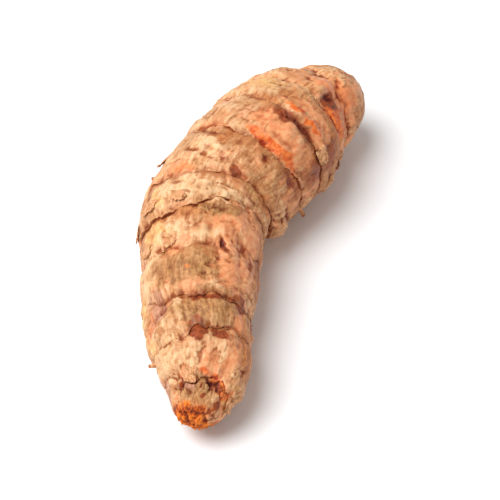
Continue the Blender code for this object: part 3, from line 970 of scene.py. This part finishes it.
def add_flake(pieces, surface, flake, seed):
    side = np.linspace(-1, 1, FLAKE_POINTS)
    down, across = np.meshgrid(side, side, indexing="ij")
    place = np.stack([down * 1.7 + seed, across * 1.7, np.full_like(down, seed * 0.37)], axis=-1)
    ragged_edge = noise(place, 3) + 0.5 * noise(place * 2.7, 4)
    narrow = (1 - 0.35 * np.clip(-down, 0, 1) ** 2) * (1 + 0.35 * ragged_edge)
    along = flake.along + 0.5 * flake.length * down * (1 + 0.3 * ragged_edge)
    angle = math.radians(flake.angle) + 0.5 * flake.width * across * narrow / girth(flake.along)
    free = np.clip((1 - down) / 2, 0, 1)
    lift = flake.lift * free**2 * (1 + 0.8 * ragged_edge)
    height = np.maximum(FLAKE_GAP + lift + 0.12 * noise(place * 2.1, 5) * free, FLAKE_GAP)
    upper = surface.point(along, angle, height + FLAKE_THICKNESS)
    lower = surface.point(along, angle, height - FLAKE_GAP - 0.3 * (1 - free) ** 4)
    pieces.add_sheet(upper, lower, free * 0.6)


def hidden_flakes():
    draw = np.random.default_rng(FLAKE_SEED)
    for _ in range(HIDDEN_FLAKES):
        ring = RINGS[draw.integers(0, len(RINGS) - 1)]
        angle = draw.uniform(95.0, 265.0)
        along = float(ring_line(ring, math.radians(angle)))
        yield Flake(along + 0.3, angle, *(draw.uniform(*span) for span in FLAKE_SPANS))


def add_rootlet(pieces, rootlet, seed):
    """A tapering, wrinkled stub that starts inside the body and ends in a dark broken tip."""
    angle = math.radians(rootlet.angle)
    out = LINE.outward(np.array([rootlet.along]), np.array([angle]))[0]
    base = LINE.place(rootlet.along) + (girth(rootlet.along) - ROOTLET_DEPTH) * out
    steps = np.linspace(0.0, 1.0, ROOTLET_POINTS)
    droop = LINE.frame(np.array([rootlet.along]))[0][0]
    path = base + steps[:, None] * (ROOTLET_DEPTH + rootlet.length) * out
    path -= ROOTLET_DROOP * (steps**2)[:, None] * droop
    radii = ROOTLET_TIP_RADIUS + (ROOTLET_RADIUS - ROOTLET_TIP_RADIUS) * (1 - steps) ** 1.5
    radii[-1] *= 0.8
    pieces.add_tube(path, radii, ROOTLET_SIDES, ROOTLET_ROUGHNESS, seed)


def add_hairs(pieces, surface):
    """Fine dry root hairs that lie along the skin."""
    draw = np.random.default_rng(HAIR_SEED)
    for number in range(HAIRS):
        along = draw.uniform(6.0, LINE.length - 10.0)
        angle = math.radians(draw.uniform(-180, 180))
        steps = np.linspace(0.0, 1.0, HAIR_POINTS)
        length = draw.uniform(1.2, 3.2)
        heading = draw.uniform(0, 2 * math.pi)
        curl = draw.uniform(-1.0, 1.0)
        course = heading + curl * steps
        run = along + length * steps * np.cos(course)
        turn = angle + length * steps * np.sin(course) / girth(along)
        height = 0.05 + 0.25 * np.sin(steps * math.pi) * draw.uniform(0.1, 1.0)
        path = surface.point(run, turn, height)
        path[1:-1] = (path[:-2] + path[1:-1] + path[2:]) / 3
        path[:, 2] = np.maximum(path[:, 2], 2 * HAIR_RADIUS)
        pieces.add_tube(path, HAIR_RADIUS * (1 - 0.6 * steps), HAIR_SIDES, 0.0, number)


def build_small_pieces(skin):
    surface = Surface(skin)
    pieces = Pieces()
    for seed, rootlet in enumerate(ROOTLETS):
        add_rootlet(pieces, rootlet, seed)
    for seed, flake in enumerate([*FLAKES, *hidden_flakes()]):
        add_flake(pieces, surface, flake, seed)
    add_hairs(pieces, surface)
    points = np.array(pieces.points)
    points[:, 2] = np.maximum(points[:, 2], FLOOR_GAP)
    obj = mesh_object("flakes_and_rootlets", points, pieces.faces)
    set_values(obj.data, "tip", pieces.tips)
    obj.data.shade_smooth()
    return obj


class Graph:
    """Short ways to add shader nodes."""

    def __init__(self, name):
        self.material = bpy.data.materials.new(name)
        self.material.use_nodes = True
        self.tree = self.material.node_tree
        self.shader = self.tree.nodes["Principled BSDF"]

    def add(self, kind, inputs, output, **settings):
        """Adds a node with its inputs fed, and returns one of its outputs."""
        node = self.tree.nodes.new(kind)
        for name, value in settings.items():
            setattr(node, name, value)
        for name, value in inputs.items():
            self.feed(node.inputs[name], value)
        return node.outputs[output]

    def feed(self, socket, value):
        """Links an output to a socket, or sets the socket to a plain value."""
        if isinstance(value, bpy.types.NodeSocket):
            self.tree.links.new(value, socket)
        elif isinstance(value, tuple) and len(value) == 3 and socket.type == "RGBA":
            socket.default_value = (*value, 1.0)
        else:
            socket.default_value = value

    def attribute(self, name, output="Fac"):
        return self.add("ShaderNodeAttribute", {}, output, attribute_name=name)

    def stretch(self, vector, scale):
        return self.add("ShaderNodeMapping", {"Vector": vector, "Scale": scale}, "Vector")

    def noise(self, vector, scale, detail=3.0, roughness=0.55):
        inputs = {"Vector": vector, "Scale": scale, "Detail": detail, "Roughness": roughness}
        return self.add("ShaderNodeTexNoise", inputs, "Fac")

    def math(self, operation, first, second=0.0, clamp=False):
        inputs = {0: first, 1: second}
        return self.add("ShaderNodeMath", inputs, 0, operation=operation, use_clamp=clamp)

    def between(self, value, low, high):
        """0 at low, 1 at high, smooth between."""
        inputs = {"Value": value, "From Min": low, "From Max": high}
        return self.add("ShaderNodeMapRange", inputs, "Result", interpolation_type="SMOOTHSTEP")

    def ramp(self, value, *stops):
        colour = self.add("ShaderNodeValToRGB", {"Fac": value}, "Color")
        elements = colour.node.color_ramp.elements
        while len(elements) < len(stops):
            elements.new(0.5)
        for element, (position, shade) in zip(elements, stops):
            element.position = position
            element.color = (*shade, 1.0)
        return colour

    def times(self, first, second):
        return self.math("MULTIPLY", first, second)

    def tint(self, colour, share, strength, tone):
        """The colour with another tone over it, as strong as the share times the strength."""
        return self.mix(self.times(share, strength), colour, tone)

    def mix(self, share, first, second, blend="MIX"):
        """A mix of two colours, which are inputs 6 and 7 and output 2 of the node."""
        inputs = {"Factor": share, 6: first, 7: second}
        return self.add("ShaderNodeMix", inputs, 2, data_type="RGBA", blend_type=blend)

    def bump(self, height, strength, distance):
        inputs = {"Height": height, "Strength": strength, "Distance": distance}
        return self.add("ShaderNodeBump", inputs, "Normal")

    def finished(self, colour, roughness, specular):
        """The material, with what each of them has."""
        self.feed(self.shader.inputs["Base Color"], colour)
        self.feed(self.shader.inputs["Roughness"], roughness)
        self.shader.inputs["Specular IOR Level"].default_value = specular
        return self.material


# Colours of the root, linear
TAN = (0.65, 0.32, 0.142)
TAN_DARK = (0.38, 0.138, 0.042)
TAN_PALE = (0.88, 0.55, 0.30)
SALMON = (0.78, 0.26, 0.11)
PEACH = (0.86, 0.40, 0.20)
CREAM = (0.92, 0.57, 0.32)
BROWN = (0.45, 0.16, 0.052)
DARK_RED = (0.33, 0.08, 0.03)
GROOVE_SHADE_COLOUR = (0.34, 0.085, 0.018)
SCAR_LIGHT = (0.77, 0.19, 0.014)
SCAR_MID = (0.50, 0.082, 0.005)
SCAR_DARK = (0.22, 0.03, 0.002)

# The two colours between which each kind of mark wanders
MARK_COLOURS = {
    "bare": ((0.78, 0.28, 0.12), (0.88, 0.42, 0.20)),
    "pale": ((0.77, 0.44, 0.22), (0.87, 0.59, 0.34)),
    "yellow": ((0.75, 0.38, 0.13), (0.90, 0.55, 0.24)),
    "brown": ((0.40, 0.13, 0.04), (0.68, 0.28, 0.10)),
    "olive": ((0.31, 0.13, 0.042), (0.60, 0.31, 0.125)),
    "grey": ((0.38, 0.16, 0.09), (0.66, 0.34, 0.22)),
    "orange": ((0.68, 0.09, 0.010), (0.88, 0.23, 0.045)),
    "dark": ((0.20, 0.038, 0.010), (0.36, 0.072, 0.016)),
}
# Kinds whose two colours change in small patches only
SMALL_MOTTLED = ("dark", "orange", "bare")
# Painted shade: what the colour is multiplied by, from level skin to deep hollows
PAINTED_HOLLOW_SHADES = ((0.30, (1.0, 1.0, 1.0)), (0.52, (0.93, 0.86, 0.78)), (0.78, (0.38, 0.15, 0.05)))


def skin_material():
    """Papery tan scale over bare pink skin, stained, with orange where it is rubbed, and with painted shade
    in its hollows and grooves.
    """
    g = Graph("turmeric_skin")
    straight = g.attribute("unbent", "Vector")
    fibres = g.noise(g.stretch(straight, (0.28, 1.9, 1.9)), 1.0, detail=4.0)
    blotches = g.noise(straight, 0.42, detail=4.0, roughness=0.6)
    mottle = g.noise(straight, 1.5, detail=4.0, roughness=0.65)
    grain = g.noise(straight, 5.5, detail=2.0)
    broad = g.noise(straight, 0.14, detail=2.0)
    both = g.math("ADD", g.times(fibres, 0.5), g.times(mottle, 0.5))
    colour = g.ramp(both, (0.395, TAN_DARK), (0.495, TAN), (0.59, TAN_PALE))
    colour = g.tint(colour, g.between(broad, 0.46, 0.62), 0.6, g.mix(mottle, BROWN, TAN_DARK))
    colour = g.tint(colour, g.between(broad, 0.50, 0.36), 0.6, g.mix(mottle, SALMON, PEACH))
    # Brown towards the groove under the next lip: remains of dry scale there, partly painted shade of that
    # lip
    worn = g.times(g.between(g.attribute("share"), 0.35, 0.95), g.between(blotches, 0.32, 0.52))
    colour = g.tint(colour, worn, 0.85, BROWN)
    for kind in KINDS:
        low, high = MARK_COLOURS[kind]
        tone = g.mix(g.between(mottle if kind in SMALL_MOTTLED else both, 0.39, 0.61), low, high)
        torn = g.math("ADD", g.attribute(kind), g.times(g.math("SUBTRACT", mottle, 0.5), 0.8))
        colour = g.mix(g.between(torn, 0.15, 0.8 if kind == "dark" else 0.95), colour, tone)
    # The pale lip edges: pale rim of the torn scale, partly a painted highlight
    colour = g.tint(colour, g.attribute("edge"), 0.6, CREAM)
    # Painted shade in the hollows, darker the deeper they lie
    colour = g.mix(1.0, colour, g.ramp(g.attribute("sunk"), *PAINTED_HOLLOW_SHADES), "MULTIPLY")
    # Painted shade in the grooves and under the overhanging lips
    colour = g.tint(colour, g.attribute("groove"), 0.8, GROOVE_SHADE_COLOUR)
    colour = g.tint(colour, g.between(grain, 0.66, 0.74), 0.5, DARK_RED)
    # The scar's orange, darker between its grains: partly its dark specks, partly painted shade
    scar = g.ramp(g.attribute("sunk"), (0.20, SCAR_LIGHT), (0.5, SCAR_MID), (0.95, SCAR_DARK))
    colour = g.mix(g.attribute("scar"), colour, scar)
    rough = g.math("ADD", g.times(mottle, 0.3), 0.42)
    rough = g.math("SUBTRACT", rough, g.times(g.attribute("bare"), 0.12), clamp=True)
    height = g.math("ADD", g.times(fibres, 0.6), g.times(grain, 0.5))
    g.feed(g.shader.inputs["Normal"], g.bump(height, 0.5, 0.00012))
    g.shader.inputs["Sheen Weight"].default_value = 0.04
    g.shader.inputs["Sheen Roughness"].default_value = 0.5
    return g.finished(colour, rough, 0.25)


def paper_material():
    """Dry, thin, brown scale and root fibre, dark at broken tips."""
    g = Graph("dry_scale")
    place = g.add("ShaderNodeTexCoord", {}, "Object")
    veins = g.noise(g.stretch(place, (2600.0, 700.0, 2600.0)), 1.0, detail=3.0)
    mottle = g.noise(place, 900.0, detail=3.0)
    colour = g.ramp(veins, (0.35, TAN_DARK), (0.55, TAN), (0.8, TAN_PALE))
    colour = g.tint(colour, g.between(mottle, 0.45, 0.65), 0.45, PEACH)
    colour = g.tint(colour, g.between(g.attribute("tip"), 0.8, 1.0), 0.8, DARK_RED)
    g.feed(g.shader.inputs["Normal"], g.bump(veins, 0.4, 0.0001))
    return g.finished(colour, g.math("ADD", g.times(mottle, 0.25), 0.55), 0.3)


def floor_material():
    return Graph("pale_floor").finished(FLOOR_COLOUR, 0.6, 0.2)


def make_floor():
    corners = ((-1, -1), (1, -1), (1, 1), (-1, 1))
    corners = [(x * FLOOR_HALF, y * FLOOR_HALF, 0.0) for x, y in corners]
    floor = mesh_object("floor", corners, [(0, 1, 2, 3)])
    floor.data.materials.append(floor_material())


def make_light():
    """One broad light from the upper left, and a soft even sky."""
    data = bpy.data.lights.new("key", "AREA")
    data.shape = "DISK"
    data.size = KEY_SIZE
    data.energy = KEY_POWER
    data.color = KEY_COLOUR
    light = placed("key", data)
    light.location = KEY_PLACE
    light.rotation_euler = (-Vector(KEY_PLACE)).to_track_quat("-Z", "Y").to_euler()
    world = bpy.data.worlds.new("studio")
    world.use_nodes = True
    back = world.node_tree.nodes["Background"]
    back.inputs["Color"].default_value = (*SKY_COLOUR, 1.0)
    back.inputs["Strength"].default_value = SKY_STRENGTH
    bpy.context.scene.world = world
    bpy.context.scene.view_settings.view_transform = "Standard"


def make_camera():
    """Looks down on the root from the side of its narrow end, as the photo does."""
    data = bpy.data.cameras.new("camera")
    data.lens = LENS
    data.sensor_width = SENSOR
    data.clip_start = 0.01
    data.clip_end = 50.0
    camera = placed("camera", data)
    ahead = Vector((0.0, math.cos(VIEW_HEIGHT), -math.sin(VIEW_HEIGHT)))
    camera.location = Vector(VIEW_TARGET) - VIEW_DISTANCE * ahead
    camera.rotation_euler = ahead.to_track_quat("-Z", "Y").to_euler()
    bpy.context.scene.camera = camera


make_camera()
make_light()
make_floor()

skin = Skin()
skin_object = build_skin(skin)
skin_object.data.materials.append(skin_material())
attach(skin_object, BODY)
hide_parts(NODE)
small_pieces = build_small_pieces(skin)
small_pieces.data.materials.append(paper_material())
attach(small_pieces, BODY)
